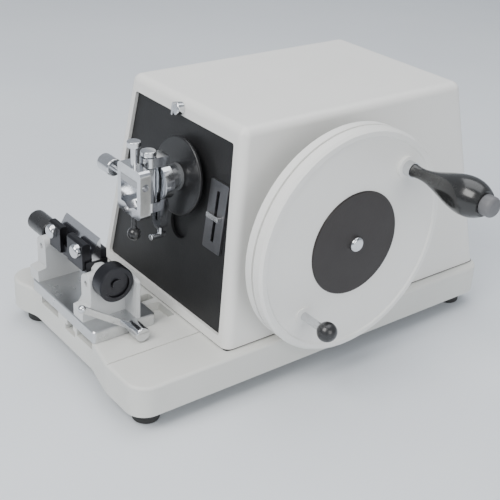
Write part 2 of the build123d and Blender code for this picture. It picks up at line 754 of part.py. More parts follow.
def bearing_housing():
    body = rod_x(HOUSING_SPIGOT, FRAME_LEFT, FRAME_RIGHT, WHEEL_Y, WHEEL_Z)
    body = body + rod_x(FRAME_BOSS, FRAME_RIGHT, FLANGE_RIGHT, WHEEL_Y, WHEEL_Z)
    body = body + rod_x(HOUSING_BARREL, FLANGE_RIGHT, HOUSING_END, WHEEL_Y, WHEEL_Z)
    body = body - rod_x(BUSH_RADIUS + SEAT, FRAME_LEFT, HOUSING_END, WHEEL_Y, WHEEL_Z)
    for y, z in flange_bolt_spots():
        body = body - rod_x(FLANGE_BOLT_RADIUS + SEAT, FRAME_RIGHT, FLANGE_RIGHT, y, z)
    return body


def shaft_bushes():
    bushes = []
    for x in (FRAME_LEFT, HOUSING_END - BUSH_LENGTH):
        bush = rod_x(BUSH_RADIUS, x, x + BUSH_LENGTH, WHEEL_Y, WHEEL_Z)
        bushes.append(bush - rod_x(SHAFT_RADIUS + RUN, x, x + BUSH_LENGTH, WHEEL_Y, WHEEL_Z))
    return bushes


def frame_bolts():
    bolts = []
    grip = FRAME_FOOT_HEIGHT + FOOT_BOLT_DEPTH - AIR
    for x, y in foot_bolt_spots():
        bolts.append(socket_screw_z(x, y, FRAME_FOOT_TOP, FOOT_BOLT_RADIUS, FOOT_BOLT_HEAD, grip))
    for y, z in flange_bolt_spots():
        start = FRAME_RIGHT - FLANGE_BOLT_GRIP + AIR
        shank = rod_x(FLANGE_BOLT_RADIUS, start, FLANGE_RIGHT, y, z)
        head = rod_x(FLANGE_BOLT_HEAD, FLANGE_RIGHT, FLANGE_RIGHT + BOLT_HEAD_HEIGHT, y, z)
        bolts.append(shank + head)
    return bolts


def lock_catch():
    face = WHEEL_BACK - CATCH_GAP
    catch = rod_x(CATCH_RADIUS, FLANGE_RIGHT, face, LOCK_Y, LOCK_Z) - hood_block(0.0, HOOD_EDGE, HOOD_BOTTOM)
    return catch - rod_x(LOCK_ROD + 2 * AIR, face - LOCK_TRAVEL, face, LOCK_Y, LOCK_Z)


def handwheel():
    rim_inner = WHEEL_RADIUS - RIM_THICKNESS
    lip = WHEEL_RADIUS - RIM_LIP
    middle = (WHEEL_BACK + WHEEL_FRONT) / 2
    half = RIM_GROOVE_WIDTH / 2
    profile = outline(
        (HUB_BACK, SHAFT_RADIUS + SEAT),
        (HUB_BACK, HUB_RADIUS),
        (WEB_BACK, HUB_RADIUS + 3),
        (WEB_BACK, rim_inner - 4),
        (WEB_BACK - 4, rim_inner),
        (WHEEL_BACK, rim_inner),
        (WHEEL_BACK, WHEEL_RADIUS - RIM_EDGE),
        (WHEEL_BACK + RIM_EDGE, WHEEL_RADIUS),
        (middle - half, WHEEL_RADIUS),
        (middle - half, WHEEL_RADIUS - RIM_GROOVE_DEPTH),
        (middle + half, WHEEL_RADIUS - RIM_GROOVE_DEPTH),
        (middle + half, WHEEL_RADIUS),
        (WHEEL_FRONT - RIM_EDGE, WHEEL_RADIUS),
        (WHEEL_FRONT, WHEEL_RADIUS - RIM_EDGE),
        (WHEEL_FRONT, lip),
        (WEB_FRONT, lip - 1.5),
        (WEB_FRONT, COVER_RADIUS + SEAT),
        (COVER_BACK, COVER_RADIUS + SEAT),
        (COVER_BACK, SHAFT_RADIUS + SEAT),
    )
    wheel = turned_x(profile, WHEEL_Y, WHEEL_Z)
    wheel = wheel + rod_x(HANDLE_BOSS, WEB_BACK - 4, NECK_START, HANDLE_Y, HANDLE_Z)
    wheel = wheel + rod_x(LOCK_BOSS, WHEEL_BACK + OVERCUT, WHEEL_FRONT, LOCK_Y, LOCK_Z)
    wheel = wheel - rod_x(SPINDLE_ROD + SEAT, WEB_BACK - 4, NECK_START, HANDLE_Y, HANDLE_Z)
    return wheel - rod_x(LOCK_ROD + RUN, WHEEL_BACK, WHEEL_FRONT, LOCK_Y, LOCK_Z)


def wheel_cover_disc():
    disc = rod_x(COVER_RADIUS, COVER_BACK, COVER_FRONT, WHEEL_Y, WHEEL_Z)
    disc = chamfer(disc.edges().sort_by(Axis.X)[-1], 1.0)
    return disc - rod_x(HUB_SCREW_SHANK + SEAT, COVER_BACK, COVER_FRONT, WHEEL_Y, WHEEL_Z)


def hub_screw():
    head = rod_x(HUB_SCREW_HEAD, COVER_FRONT, COVER_FRONT + HUB_SCREW_HEIGHT, WHEEL_Y, WHEEL_Z)
    head = fillet(head.edges().sort_by(Axis.X)[-1], 3.0)
    shank = rod_x(HUB_SCREW_SHANK, COVER_FRONT - HUB_SCREW_LENGTH, COVER_FRONT, WHEEL_Y, WHEEL_Z)
    return head + shank


def main_shaft():
    shaft = rod_x(SHAFT_RADIUS, CRANK_DISC_LEFT, COVER_BACK, WHEEL_Y, WHEEL_Z)
    shaft = shaft + rod_x(COLLAR_RADIUS, HOUSING_END + AIR, HUB_BACK, WHEEL_Y, WHEEL_Z)
    hole_end = COVER_FRONT - HUB_SCREW_LENGTH - AIR
    return shaft - rod_x(HUB_SCREW_SHANK + SEAT, hole_end, COVER_BACK, WHEEL_Y, WHEEL_Z)


def crank_disc():
    disc = rod_x(CRANK_DISC_RADIUS, CRANK_DISC_LEFT, CRANK_DISC_RIGHT, WHEEL_Y, WHEEL_Z)
    disc = chamfer(disc.edges().filter_by(GeomType.CIRCLE), 1.0)
    disc = disc - rod_x(SHAFT_RADIUS + SEAT, CRANK_DISC_LEFT, CRANK_DISC_RIGHT, WHEEL_Y, WHEEL_Z)
    return disc - rod_x(CRANK_PIN_RADIUS + SEAT, CRANK_DISC_LEFT, CRANK_DISC_RIGHT, WHEEL_Y, PIN_Z)


def crank_pin():
    return rod_x(CRANK_PIN_RADIUS, ROLLER_LEFT, CRANK_DISC_RIGHT, WHEEL_Y, PIN_Z)


def crank_roller():
    end = ROLLER_LEFT + ROLLER_LENGTH
    roller = rod_x(ROLLER_RADIUS, ROLLER_LEFT, end, WHEEL_Y, PIN_Z)
    return roller - rod_x(CRANK_PIN_RADIUS + RUN, ROLLER_LEFT, end, WHEEL_Y, PIN_Z)


def handle_spindle():
    rod = rod_x(SPINDLE_ROD, WEB_BACK - 4, GRIP_END, HANDLE_Y, HANDLE_Z)
    neck = rod_x(NECK_RADIUS, NECK_START, NECK_START + NECK_LENGTH, HANDLE_Y, HANDLE_Z)
    end = rod_x(END_ROD, GRIP_END, GRIP_END + END_CAP_LENGTH / 2, HANDLE_Y, HANDLE_Z)
    return rod + neck + end


def crank_grip():
    bore = SPINDLE_ROD + RUN
    start, end, length = GRIP_START, GRIP_END, GRIP_LENGTH
    swell = Spline(
        (start, GRIP_NECK_RADIUS),
        (start + 0.5 * length, 0.62 * GRIP_RADIUS + 0.38 * GRIP_NECK_RADIUS),
        (end - 0.19 * length, GRIP_RADIUS),
        (end, GRIP_END_RADIUS),
    )
    rest = Polyline((end, GRIP_END_RADIUS), (end, bore), (start, bore), (start, GRIP_NECK_RADIUS))
    profile = make_face([swell, rest])
    return turned_x(profile, HANDLE_Y, HANDLE_Z)


def grip_end_cap():
    start = GRIP_END + AIR
    cap = rod_x(END_CAP_RADIUS, start, start + END_CAP_LENGTH, HANDLE_Y, HANDLE_Z)
    cap = fillet(cap.edges().sort_by(Axis.X)[-1], 4.0)
    return cap - rod_x(END_ROD + SEAT, start, GRIP_END + END_CAP_LENGTH / 2 + AIR, HANDLE_Y, HANDLE_Z)


def lock_pin():
    tip = WHEEL_BACK + AIR
    end = LOCK_KNOB_X - LOCK_KNOB_RADIUS / 3
    return rod_x(LOCK_ROD, tip, end, LOCK_Y, LOCK_Z)


def lock_knob():
    knob = Pos(LOCK_KNOB_X, LOCK_Y, LOCK_Z) * Sphere(LOCK_KNOB_RADIUS)
    back = LOCK_KNOB_X - 0.85 * LOCK_KNOB_RADIUS
    knob = knob - box(back - LOCK_KNOB_RADIUS, back, LOCK_Y - 10, LOCK_Y + 10, LOCK_Z - 10, LOCK_Z + 10)
    end = LOCK_KNOB_X - LOCK_KNOB_RADIUS / 3 + AIR
    return knob - rod_x(LOCK_ROD + SEAT, back, end, LOCK_Y, LOCK_Z)


def yoke_plate():
    x0, x1 = YOKE_RIGHT - YOKE_THICKNESS, YOKE_RIGHT
    reach = CRANK_RADIUS + ROLLER_RADIUS + YOKE_RIM
    height = 2 * (ROLLER_RADIUS + YOKE_RIM)
    bar = Pos((GUIDE_Y + WHEEL_Y + reach) / 2, PIN_Z) * Rectangle(WHEEL_Y + reach - GUIDE_Y, height)
    bar = fillet(bar.vertices().sort_by(Axis.X)[-2:], 6.0)
    slot = Pos(WHEEL_Y, PIN_Z) * SlotOverall(2 * (CRANK_RADIUS + ROLLER_RADIUS + 1), 2 * (ROLLER_RADIUS + ROLLER_ROOM))
    return along_x(bar - slot, x0, x1)


def vertical_slide():
    x0, x1 = COLUMNS_X
    web = box(x0, x1, GUIDE_Y - WEB_THICKNESS / 2, GUIDE_Y + WEB_THICKNESS / 2, SLIDE_BOTTOM, SLIDE_TOP)
    body = web + yoke_plate()
    for x in COLUMNS_X:
        body = body + rod_z(SLIDE_BOSS, SLIDE_BOTTOM, SLIDE_TOP, x, GUIDE_Y)
    body = body + rod_y(GUIDE_TUBE_RADIUS, GUIDE_TUBE_FRONT, GUIDE_TUBE_REAR, RAM_X, RAM_Z)
    body = body + rod_y(SLEEVE_RADIUS, sleeve_front(), GUIDE_TUBE_FRONT, RAM_X, RAM_Z)
    half = ARM_WIDTH / 2
    body = body + box(RAM_X - half, RAM_X + half, GUIDE_Y, BEARING_REAR, ARM_BOTTOM, ARM_TOP)
    half = BEARING_WIDTH / 2
    top = RAM_Z + BEARING_TOP
    body = body + box(RAM_X - half, RAM_X + half, BEARING_Y, BEARING_REAR, ARM_BOTTOM, top)
    journal_end = PAWL_ARM_Y + PAWL_ARM_THICKNESS
    body = body + rod_y(JOURNAL_RADIUS, BEARING_REAR, journal_end, RAM_X, RAM_Z)
    for x in COLUMNS_X:
        body = body - rod_z(SLIDE_BUSH_RADIUS + SEAT, SLIDE_BOTTOM, SLIDE_TOP, x, GUIDE_Y)
    body = body - rod_y(RAM_RADIUS + RUN, sleeve_front(), GUIDE_TUBE_REAR, RAM_X, RAM_Z)
    return body - rod_y(SPINDLE_RADIUS + RUN, BEARING_Y, journal_end, RAM_X, RAM_Z)


def sleeve_front():
    return front_at(RAM_Z) - (SHIELD_GAP + SHIELD_THICKNESS - HOOD_WALL) / math.cos(FRONT_LEAN) - SLEEVE_PROUD


def slide_bushes():
    bushes = []
    for x in COLUMNS_X:
        for z in (SLIDE_BOTTOM, SLIDE_TOP - SLIDE_BUSH_LENGTH):
            bush = rod_z(SLIDE_BUSH_RADIUS, z, z + SLIDE_BUSH_LENGTH, x, GUIDE_Y)
            bushes.append(bush - rod_z(COLUMN_RADIUS + RUN, z, z + SLIDE_BUSH_LENGTH, x, GUIDE_Y))
    return bushes


def slot_blind():
    out = PANEL_FACE - PANEL_THICKNESS - BLIND_GAP - BLIND_THICKNESS
    low, high = up_slope(RAM_Z - BLIND_DOWN, out), up_slope(RAM_Z + BLIND_UP, out)
    shape = Pos(RAM_X - HOOD_X, (low + high) / 2) * Rectangle(BLIND_WIDTH, high - low)
    blind = on_face(shape, out, BLIND_THICKNESS)
    return blind - rod_y(SLEEVE_RADIUS + SEAT, HOOD_FRONT, GUIDE_TUBE_REAR, RAM_X, RAM_Z)


def ram_shield():
    out = PANEL_FACE + SHIELD_GAP
    disc = on_face(Pos(RAM_X - HOOD_X, up_slope(RAM_Z, out)) * Circle(SHIELD_RADIUS), out, SHIELD_THICKNESS)
    disc = fillet(disc.edges().filter_by(GeomType.CIRCLE), SHIELD_EDGE)
    return disc - rod_y(SLEEVE_RADIUS + SEAT, HOOD_FRONT - OVERCUT, GUIDE_TUBE_FRONT, RAM_X, RAM_Z)


def feed_ram():
    ram = rod_y(RAM_RADIUS, RAM_FRONT, RAM_REAR, RAM_X, RAM_Z)
    ram = ram - rod_y(RAM_BORE_RADIUS, RAM_BORE_END, RAM_REAR, RAM_X, RAM_Z)
    return ram - rod_y(NUT_RADIUS + SEAT, RAM_REAR - NUT_LENGTH, RAM_REAR, RAM_X, RAM_Z)


def feed_nut():
    nut = rod_y(NUT_RADIUS, RAM_REAR - NUT_LENGTH, RAM_REAR, RAM_X, RAM_Z)
    return nut - rod_y(SPINDLE_RADIUS + RUN, RAM_REAR - NUT_LENGTH, RAM_REAR, RAM_X, RAM_Z)


def feed_spindle():
    front = RAM_BORE_END + RAM_RETRACT + SPINDLE_FRONT_ROOM
    end = COARSE_ARM_Y + COARSE_ARM_THICKNESS
    spindle = rod_y(SPINDLE_RADIUS, front, end, RAM_X, RAM_Z)
    collar = rod_y(BEARING_BORE, BEARING_Y - AIR - 4, BEARING_Y - AIR, RAM_X, RAM_Z)
    return spindle + collar


def ratchet_wheel():
    points = []
    for i in range(RATCHET_TEETH):
        angle = 2 * math.pi * i / RATCHET_TEETH
        for reach in (RATCHET_RADIUS, RATCHET_RADIUS - RATCHET_TOOTH):
            points.append((reach * math.cos(angle), reach * math.sin(angle)))
    wheel = along_y(Pos(RAM_X, RAM_Z) * outline(*points), RATCHET_Y, RATCHET_Y + RATCHET_WIDTH)
    return wheel - rod_y(SPINDLE_RADIUS + SEAT, RATCHET_Y, RATCHET_Y + RATCHET_WIDTH, RAM_X, RAM_Z)


def coarse_crank():
    arm = Pos(RAM_X, RAM_Z - COARSE_ARM_LENGTH / 2) * Rot(0, 0, 90)
    arm = arm * SlotCenterToCenter(COARSE_ARM_LENGTH, COARSE_ARM_WIDTH)
    end = COARSE_ARM_Y + COARSE_ARM_THICKNESS
    crank = along_y(arm, COARSE_ARM_Y, end)
    crank = crank - rod_y(SPINDLE_RADIUS + SEAT, COARSE_ARM_Y, end, RAM_X, RAM_Z)
    pin_end = end + AIR + COARSE_KNOB_LENGTH - 4
    return crank + rod_y(COARSE_PIN_RADIUS, end, pin_end, RAM_X, RAM_Z - COARSE_ARM_LENGTH)


def coarse_knob():
    start = COARSE_ARM_Y + COARSE_ARM_THICKNESS + AIR
    end = start + COARSE_KNOB_LENGTH
    knob = rod_y(COARSE_KNOB_RADIUS, start, end, RAM_X, RAM_Z - COARSE_ARM_LENGTH)
    knob = fillet(knob.edges().filter_by(GeomType.CIRCLE), 2.0)
    return knob - rod_y(COARSE_PIN_RADIUS + RUN, start, end - 4 + AIR, RAM_X, RAM_Z - COARSE_ARM_LENGTH)


def pawl_arm():
    y0, y1 = PAWL_ARM_Y, PAWL_ARM_Y + PAWL_ARM_THICKNESS
    reach = PAWL_REACH - PAWL_WIDTH / 2
    bar = Pos(RAM_X - reach / 2, RAM_Z) * Rectangle(reach, PAWL_WIDTH)
    shape = bar + Pos(RAM_X, RAM_Z) * Circle(PAWL_ARM_RADIUS) + Pos(RAM_X - reach, RAM_Z) * Circle(PAWL_WIDTH / 2)
    arm = along_y(shape, y0, y1) - rod_y(JOURNAL_RADIUS + RUN, y0, y1, RAM_X, RAM_Z)
    return arm


def feed_pawl():
    inner = RATCHET_RADIUS + PAWL_RANGE_GAP
    x0, x1 = RAM_X - PAWL_REACH, RAM_X - inner
    half = PAWL_WIDTH / 2
    start = PAWL_ARM_Y + PAWL_ARM_THICKNESS
    body = box(x0, x1, start, RATCHET_Y + RATCHET_WIDTH, RAM_Z - half, RAM_Z + half)
    return fillet(body.edges().filter_by(Axis.Y), 1.5)


def head_ring():
    ring = rod_y(RING_RADIUS, RING_FRONT, RING_REAR, RAM_X, RAM_Z)
    half = HEAD_ARM_WIDTH / 2
    top = TOP_ARM + HEAD_ARM_THICKNESS
    low = LOW_ARM - HEAD_ARM_THICKNESS
    ring = ring + box(RAM_X - half, RAM_X + half, RING_FRONT, RING_REAR, low, top)
    for z0, z1 in ((TOP_ARM, top), (low, LOW_ARM)):
        arm = Pos(RAM_X, (SWING_Y + RING_REAR) / 2) * Rectangle(HEAD_ARM_WIDTH, RING_REAR - SWING_Y)
        arm = arm + Pos(RAM_X, SWING_Y) * Circle(half)
        arm = arm - Pos(RAM_X, SWING_Y) * Circle(SWING_PIN + RUN)
        ring = ring + along_z(arm, z0, z1)
    lug = Pos(RAM_X, (LUG_BOTTOM + low) / 2 + LUG_WIDTH / 4)
    lug = lug * Rectangle(LUG_WIDTH, low - LUG_BOTTOM - LUG_WIDTH / 2)
    lug = lug + Pos(RAM_X, LUG_BOTTOM + LUG_WIDTH / 2) * Circle(LUG_WIDTH / 2)
    ring = ring + along_y(lug, RING_FRONT, RING_REAR)
    ring = ring - rod_y(RAM_RADIUS + RUN, RING_FRONT, RING_REAR, RAM_X, RAM_Z)
    slit = (RAM_X - SLIT_WIDTH / 2, RAM_X + SLIT_WIDTH / 2, RING_FRONT, RING_REAR)
    ring = ring - box(*slit, LUG_BOTTOM + LUG_WIDTH / 2 + 2, RAM_Z)
    return ring - rod_z(CROSS_STEM_RADIUS + RUN, LUG_BOTTOM, LUG_BOTTOM + STEM_GRIP + SEAT, RAM_X, LUG_Y)


def cross_bar():
    bar = rod_y(CROSS_BAR_RADIUS, CROSS_BAR_FRONT, CROSS_BAR_REAR, RAM_X, CROSS_BAR_Z)
    bar = fillet(bar.edges().filter_by(GeomType.CIRCLE), 1.2)
    return bar + rod_z(CROSS_STEM_RADIUS, CROSS_BAR_Z, LUG_BOTTOM + STEM_GRIP - AIR, RAM_X, LUG_Y)


def swing_knob():
    top = TOP_ARM + HEAD_ARM_THICKNESS + AIR
    knob = rod_z(SWING_KNOB_RADIUS, top, top + SWING_KNOB_HEIGHT, RAM_X, SWING_Y)
    knob = fillet(knob.edges().filter_by(GeomType.CIRCLE), 1.2)
    return knob + rod_z(SWING_PIN, LOW_ARM - HEAD_ARM_THICKNESS, top, RAM_X, SWING_Y)


def clamp_frame():
    face = Pos(RAM_X, CLAMP_Z) * RectangleRounded(CLAMP_WIDTH, CLAMP_HEIGHT, CLAMP_CORNER)
    middle = (JAW_OPENING_BOTTOM + JAW_OPENING_TOP) / 2
    face = face - Pos(RAM_X, middle) * Rectangle(JAW_OPENING_WIDTH, JAW_OPENING_TOP - JAW_OPENING_BOTTOM)
    face = face - outline(
        (RAM_X - 2 * V_DEPTH, JAW_OPENING_BOTTOM),
        (RAM_X, JAW_OPENING_BOTTOM - V_DEPTH),
        (RAM_X + 2 * V_DEPTH, JAW_OPENING_BOTTOM),
    )
    frame = along_y(face, CLAMP_FRONT, CLAMP_REAR)
    half = HEAD_ARM_WIDTH / 2
    neck = box(RAM_X - half, RAM_X + half, CLAMP_REAR, SWING_Y, BARREL_BOTTOM, BARREL_TOP)
    back = box(OPENING_LEFT - 2, OPENING_RIGHT + 2, CLAMP_REAR, CLAMP_REAR + 2, BARREL_BOTTOM, BARREL_TOP)
    frame = frame + neck + back + rod_z(BARREL_RADIUS, BARREL_BOTTOM, BARREL_TOP, RAM_X, SWING_Y)
    frame = frame - rod_z(SWING_PIN + RUN, BARREL_BOTTOM, BARREL_TOP, RAM_X, SWING_Y)
    frame = frame - rod_z(CLAMP_SCREW_RADIUS + RUN, JAW_OPENING_TOP, CLAMP_TOP, RAM_X, SCREW_Y)
    frame = frame - rod_z(LOWER_STEM + RUN, CLAMP_BOTTOM, CLAMP_BOTTOM + 5, RAM_X, SCREW_Y)
    frame = frame - rod_x(CLAMP_SCREW_RADIUS + RUN, CLAMP_LEFT, OPENING_LEFT, SCREW_Y, SIDE_SCREW_Z)
    return frame - rod_x(SIDE_BORE, OPENING_RIGHT, CLAMP_RIGHT, SCREW_Y, SIDE_SCREW_Z)


def clamp_jaw():
    top = JAW_OPENING_TOP - AIR
    jaw = box(
        OPENING_LEFT + AIR,
        OPENING_RIGHT - AIR,
        CLAMP_FRONT,
        CLAMP_REAR - AIR,
        top - JAW_HEIGHT,
        top,
    )
    return fillet(jaw.edges().filter_by(Axis.X).group_by(Axis.Z)[0], 1.0)


def clamp_screw():
    knob_bottom = CLAMP_SCREW_TOP - CLAMP_SCREW_KNOB_HEIGHT
    knob = rod_z(CLAMP_SCREW_KNOB, knob_bottom, CLAMP_SCREW_TOP, RAM_X, SCREW_Y)
    knob = fillet(knob.edges().filter_by(GeomType.CIRCLE), 1.0)
    return knob + rod_z(CLAMP_SCREW_RADIUS, JAW_OPENING_TOP - AIR, knob_bottom, RAM_X, SCREW_Y)


def lower_knob():
    ball = Pos(RAM_X, SCREW_Y, LOWER_KNOB_Z) * Sphere(LOWER_KNOB_RADIUS)
    return ball + rod_z(LOWER_STEM, LOWER_KNOB_Z, CLAMP_BOTTOM + 4.5, RAM_X, SCREW_Y)


def side_screw():
    end = SIDE_KNOB_LEFT + SIDE_KNOB_LENGTH
    knob = rod_x(SIDE_KNOB_RADIUS, SIDE_KNOB_LEFT, end, SCREW_Y, SIDE_SCREW_Z)
    knob = fillet(knob.edges().filter_by(GeomType.CIRCLE), 1.5)
    return knob + rod_x(CLAMP_SCREW_RADIUS, end, OPENING_LEFT - AIR, SCREW_Y, SIDE_SCREW_Z)


def knife_base_plate():
    width, depth = PLATE_RIGHT - PLATE_LEFT, PLATE_REAR - PLATE_FRONT
    middle = Pos((PLATE_LEFT + PLATE_RIGHT) / 2, (PLATE_FRONT + PLATE_REAR) / 2)
    plate = along_z(middle * RectangleRounded(width, depth, PLATE_CORNER), PLATE_BOTTOM, PLATE_TOP)
    plate = chamfer(plate.faces().sort_by(Axis.Z)[-1].edges(), 1.0)
    neck = SLOT_NECK_WIDTH / 2 - AIR
    y0, y1 = shoe_ends()
    pocket = (SLOT_X - neck - SEAT, SLOT_X + neck + SEAT, y0 - SEAT, y1 + SEAT)
    plate = plate - box(*pocket, PLATE_BOTTOM, BED_TOP + SHOE_NECK_REACH + SEAT)
    shaft_end = PLATE_RIGHT - LEVER_SHAFT_LENGTH - AIR
    return plate - rod_x(LEVER_SHAFT_RADIUS + RUN, shaft_end, PLATE_RIGHT, LEVER_Y, LEVER_Z)


def shoe_ends():
    middle = (PLATE_FRONT + PLATE_REAR) / 2
    return middle - SHOE_LENGTH / 2, middle + SHOE_LENGTH / 2


def clamp_shoe():
    y0, y1 = shoe_ends()
    neck = SLOT_NECK_WIDTH / 2 - AIR
    head = SLOT_HEAD_WIDTH / 2 - AIR
    lip = BED_TOP - SLOT_NECK_DEPTH - AIR
    body = box(SLOT_X - head, SLOT_X + head, y0, y1, lip - SHOE_HEAD_HEIGHT, lip)
    body = body + box(SLOT_X - neck, SLOT_X + neck, y0, y1, lip, BED_TOP + SHOE_NECK_REACH)
    return body - rod_x(LEVER_SHAFT_RADIUS + RUN, SLOT_X - head, SLOT_X + head, LEVER_Y, LEVER_Z)


def support_wall(x0, x1, rear):
    high = TILT_Z + SUPPORT_BOSS
    front = POST_FRONT + POST_DEPTH
    side = outline(
        (SUPPORT_FOOT_FRONT, PLATE_TOP),
        (rear, PLATE_TOP),
        (rear, PLATE_TOP + SUPPORT_FOOT_HEIGHT),
        (TILT_Y + SUPPORT_BOSS, TILT_Z),
        (TILT_Y, high),
        (front, high),
        (front, PLATE_TOP + SUPPORT_FOOT_HEIGHT + 4),
        (SUPPORT_FOOT_FRONT, PLATE_TOP + SUPPORT_FOOT_HEIGHT),
    )
    boss = Pos(TILT_Y, TILT_Z) * Circle(SUPPORT_BOSS)
    corner = outline((front, high - 4), (front, high), (front + 4, high))
    wall = along_x(side + boss - corner, x0, x1)
    radius = (x1 - x0) / 2
    middle = (x0 + x1) / 2
    post = Pos(middle, (PLATE_TOP + POST_TOP - radius) / 2) * Rectangle(x1 - x0, POST_TOP - radius - PLATE_TOP)
    post = post + Pos(middle, POST_TOP - radius) * Circle(radius)
    wall = wall + along_y(post, POST_FRONT, front)
    wall = wall - rod_x(CRADLE_SHAFT + RUN, x0, x1, TILT_Y, TILT_Z)
    hole_end = POST_FRONT + POST_SCREW_DEPTH
    return wall - rod_y(POST_SCREW_RADIUS, POST_FRONT, hole_end, middle, POST_SCREW_Z)


def right_support():
    x0, x1 = RIGHT_WALL
    body = support_wall(x0, x1, SUPPORT_REAR)
    y0 = SUPPORT_REAR - REAR_WALL_THICKNESS
    low = REAR_WALL_TOP - REAR_WALL_SLOPE
    rear = outline(
        (x0, PLATE_TOP),
        (REAR_WALL_RIGHT, PLATE_TOP),
        (REAR_WALL_RIGHT, low),
        (REAR_WALL_RIGHT - 4, low + 1.5),
        (x1 - 6, REAR_WALL_TOP),
        (x0, REAR_WALL_TOP - 12),
    )
    body = body + along_y(rear, y0, SUPPORT_REAR)
    web = outline((x0 - GUSSET_WIDTH, PLATE_TOP), (x0, PLATE_TOP), (x0, PLATE_TOP + GUSSET_HEIGHT))
    return body + along_y(web, POST_FRONT + 1, POST_FRONT + 1 + GUSSET_THICKNESS)


def left_support():
    x0, x1 = LEFT_WALL
    return support_wall(x0, x1, SUPPORT_REAR - REAR_WALL_THICKNESS)


def knife_cradle():
    x0, x1 = LEFT_WALL[1] + AIR, RIGHT_WALL[0] - AIR
    bar = Pos(TILT_Y, TILT_Z) * Circle(CRADLE_BAR_RADIUS)
    ledge = Pos((LEDGE_FRONT + LEDGE_REAR) / 2, (TILT_Z + BLADE_BOTTOM - AIR) / 2)
    ledge = ledge * Rectangle(LEDGE_REAR - LEDGE_FRONT, BLADE_BOTTOM - AIR - TILT_Z)
    body = along_x(bar + ledge, x0, x1)
    low = TILT_Z + 2
    for left, right in (LEFT_JAW, RIGHT_JAW):
        cheek = box(left, right, CHEEK_FRONT, BLADE_FRONT - AIR, low, CHEEK_TOP_FRONT)
        body = body + chamfer(cheek.faces().sort_by(Axis.Z)[-1].edges().filter_by(Axis.X), 2.0)
        body = body + box(left, right, BLADE_REAR + AIR, CHEEK_REAR, low, CHEEK_TOP_REAR)
    shaft = rod_x(CRADLE_SHAFT, TILT_KNOB_LEFT + TILT_KNOB_LENGTH - 10, DRUM_RIGHT, TILT_Y, TILT_Z)
    body = body + shaft
    for x in nut_places():
        body = body - rod_y(JAW_NUT_STEM + RUN, CHEEK_FRONT, BLADE_FRONT, x, JAW_NUT_Z)
    return body


def tilt_drum():
    drum = rod_x(DRUM_RADIUS, DRUM_LEFT, DRUM_RIGHT, TILT_Y, TILT_Z)
    drum = chamfer(drum.edges().filter_by(GeomType.CIRCLE), 1.0)
    drum = drum - rod_x(DRUM_RECESS_RADIUS, DRUM_RIGHT - DRUM_RECESS, DRUM_RIGHT, TILT_Y, TILT_Z)
    return drum - rod_x(CRADLE_SHAFT + SEAT, DRUM_LEFT, DRUM_RIGHT, TILT_Y, TILT_Z)


def knife_blade():
    profile = outline(
        (BLADE_FRONT, BLADE_BOTTOM),
        (BLADE_REAR, BLADE_BOTTOM),
        (BLADE_REAR, BLADE_TOP),
        (BLADE_REAR - BLADE_BEVEL, BLADE_TOP - BLADE_BEVEL),
        (BLADE_FRONT, BLADE_BOTTOM + BLADE_FOOT),
    )
    return along_x(profile, BLADE_LEFT, BLADE_RIGHT)


def nut_places():
    return LEFT_JAW[0] + JAW_NUT_INSET, RIGHT_JAW[1] - JAW_NUT_INSET


def jaw_nut(x):
    face = CHEEK_FRONT - AIR
    nut = rod_y(JAW_NUT_RADIUS, face - JAW_NUT_HEIGHT, face, x, JAW_NUT_Z)
    nut = fillet(nut.edges().sort_by(Axis.Y)[0], 3.0)
    return nut + rod_y(JAW_NUT_STEM, face, BLADE_FRONT - 2 * AIR, x, JAW_NUT_Z)


def tilt_knob():
    end = TILT_KNOB_LEFT + TILT_KNOB_LENGTH
    knob = rod_x(TILT_KNOB_RADIUS, TILT_KNOB_LEFT, end, TILT_Y, TILT_Z)
    knob = fillet(knob.edges().filter_by(GeomType.CIRCLE), 1.5)
    return knob - rod_x(CRADLE_SHAFT + RUN, end - 10 - AIR, end, TILT_Y, TILT_Z)


def clamp_lever():
    start = PLATE_RIGHT + AIR
    hub = rod_x(LEVER_HUB_RADIUS, start, start + LEVER_HUB_LENGTH, LEVER_Y, LEVER_Z)
    hub = fillet(hub.edges().filter_by(GeomType.CIRCLE), 1.5)
    shaft = rod_x(LEVER_SHAFT_RADIUS, PLATE_RIGHT - LEVER_SHAFT_LENGTH, start, LEVER_Y, LEVER_Z)
    tip = (LEVER_Y - LEVER_FORWARD, LEVER_Z + LEVER_RISE)
    length = math.hypot(LEVER_FORWARD, LEVER_RISE)
    angle = math.degrees(math.atan2(LEVER_RISE, -LEVER_FORWARD))
    bar = Pos(LEVER_Y, LEVER_Z) * Rot(0, 0, angle) * Pos(length / 2, 0) * Rectangle(length, LEVER_WIDTH)
    arm = along_x(bar, start + 1, start + 1 + LEVER_THICKNESS)
    ball = Pos(start + 1 + LEVER_THICKNESS / 2, *tip) * Sphere(LEVER_BALL)
    return hub + shaft + arm + ball


